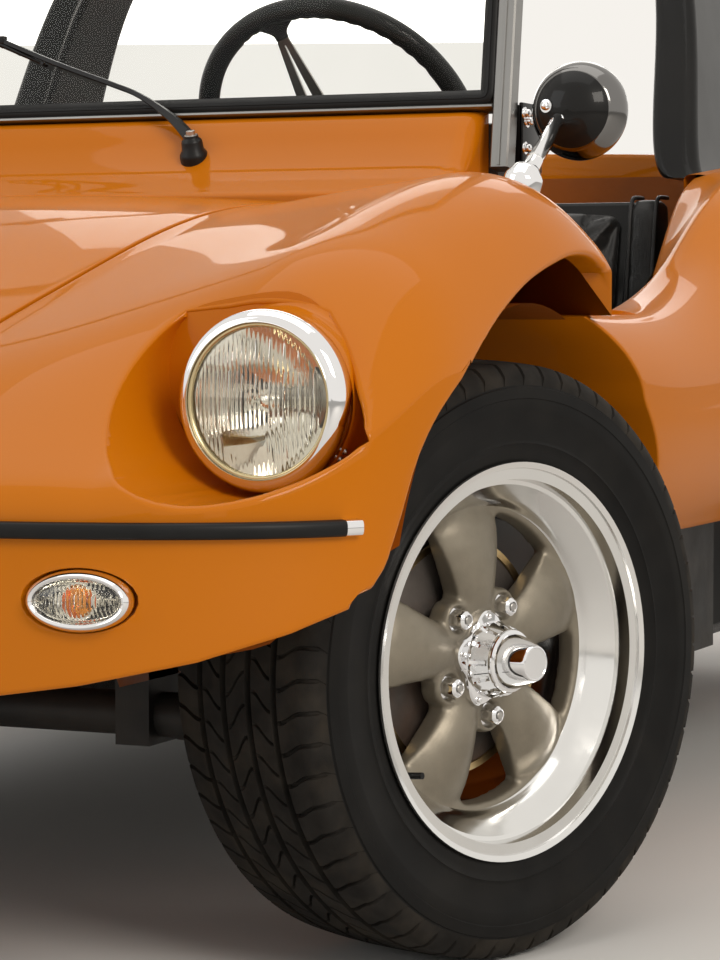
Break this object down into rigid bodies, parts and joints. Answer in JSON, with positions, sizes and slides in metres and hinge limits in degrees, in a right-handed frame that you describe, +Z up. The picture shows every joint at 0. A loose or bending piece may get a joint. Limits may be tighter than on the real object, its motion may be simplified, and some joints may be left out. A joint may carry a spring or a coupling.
{
  "type": "dune buggy",
  "caption": "Open two-seat buggy with a moulded body, wide wheels, roll hoop, steering front wheels and hinged front and rear lids.",
  "frame": {"origin": "on the ground, midway between the nose and the tail and between the sides", "axes": "-Y is forward, +X is the car's left side, +Z is up"},
  "size_m": [1.7648, 3.38, 1.3676],
  "materials": {
    "orange_paint": "glossy orange gel coat and paint",
    "black_gloss": "gloss black moulding",
    "chassis_black": "satin black",
    "cast_alloy": "rough cast alloy",
    "anodised": "satin anodised",
    "clear_glass": "clear flat glass",
    "lamp_glass": "fluted clear glass",
    "chrome_trim": "polished chrome",
    "chrome_hub": "polished chrome and cast drum",
    "cast_wheel": "polished lip, painted spokes",
    "tyre": "black rubber",
    "black_grip": "satin black grip",
    "seat_cover": "black seat cover",
    "black_trim": "black trim strip",
    "red_lens": "red lens"
  },
  "bodies": {
    "chassis": {"body_front": "orange_paint", "scuttle": "orange_paint", "body_side_left": "orange_paint", "body_side_right": "orange_paint", "body_rear": "orange_paint", "floorpan": "chassis_black", "dashboard": "black_gloss", "roll_hoop": "black_gloss", "windscreen_frame": "anodised", "windscreen_glass": "clear_glass", "windscreen_brackets": "chassis_black", "mirrors": "chrome_trim", "wipers": "chassis_black", "steering_column": "chassis_black", "seat_left": "seat_cover", "seat_right": "seat_cover", "front_beam": "chassis_black", "front_arms": "chassis_black", "rear_axle": "chassis_black", "rear_arms": "chassis_black", "transaxle": "cast_alloy", "engine": "cast_alloy", "exhaust": "chassis_black", "headlamp_rings": "chrome_trim", "headlamp_lenses": "lamp_glass", "nose_strip": "black_trim", "front_lamps": "chrome_trim", "tail_lamps": "red_lens"},
    "hood_lid": {"hood": "orange_paint"},
    "rear_lid": {"engine_lid": "orange_paint"},
    "steering": {"steering_wheel": "black_grip"},
    "knuckle_left_body": {"knuckle_left": "chassis_black"},
    "knuckle_right_body": {"knuckle_right": "chassis_black"},
    "wheel_front_left": {"tyre_front_left": "tyre", "rim_front_left": "cast_wheel", "hub_front_left": "chrome_hub"},
    "wheel_front_right": {"tyre_front_right": "tyre", "rim_front_right": "cast_wheel", "hub_front_right": "chrome_hub"},
    "wheel_rear_left": {"tyre_rear_left": "tyre", "rim_rear_left": "cast_wheel", "hub_rear_left": "chrome_hub"},
    "wheel_rear_right": {"tyre_rear_right": "tyre", "rim_rear_right": "cast_wheel", "hub_rear_right": "chrome_hub"}
  },
  "joints": [
    {"name": "steer_left", "type": "hinge", "parent": "chassis", "child": "knuckle_left_body", "pos_m": [0.625, -1.07, 0.3135], "axis": [0, 0, 1], "range_deg": [-10, 50]},
    {"name": "steer_right", "type": "hinge", "parent": "chassis", "child": "knuckle_right_body", "pos_m": [-0.625, -1.07, 0.3135], "axis": [0, 0, 1], "range_deg": [-10, 50]},
    {"name": "steering_wheel_turn", "type": "hinge", "parent": "chassis", "child": "steering", "pos_m": [0.29, -0.48, 0.905], "axis": [0, 0.8387, 0.5446], "range_deg": [-140, 700]},
    {"name": "spin_front_left", "type": "hinge", "parent": "knuckle_left_body", "child": "wheel_front_left", "pos_m": [0.69548, -1.09565, 0.3135], "axis": [0.9397, -0.342, 0], "continuous": true},
    {"name": "spin_front_right", "type": "hinge", "parent": "knuckle_right_body", "child": "wheel_front_right", "pos_m": [-0.69548, -1.04435, 0.3135], "axis": [0.9397, -0.342, 0], "continuous": true},
    {"name": "spin_rear_left", "type": "hinge", "parent": "chassis", "child": "wheel_rear_left", "pos_m": [0.712, 1.08, 0.3315], "axis": [1, 0, 0], "continuous": true},
    {"name": "spin_rear_right", "type": "hinge", "parent": "chassis", "child": "wheel_rear_right", "pos_m": [-0.712, 1.08, 0.3315], "axis": [1, 0, 0], "continuous": true},
    {"name": "hood_hinge", "type": "hinge", "parent": "chassis", "child": "hood_lid", "pos_m": [0, -1.397, 0.67545], "axis": [1, 0, 0], "range_deg": [0, 60]},
    {"name": "engine_lid_hinge", "type": "hinge", "parent": "chassis", "child": "rear_lid", "pos_m": [0, 0.963, 0.90959], "axis": [1, 0, 0], "range_deg": [0, 60]}
  ],
  "couplings": [
    {"joint": "steer_right", "follows": "steer_left", "ratio": 1},
    {"joint": "steering_wheel_turn", "follows": "steer_left", "ratio": 14}
  ]
}
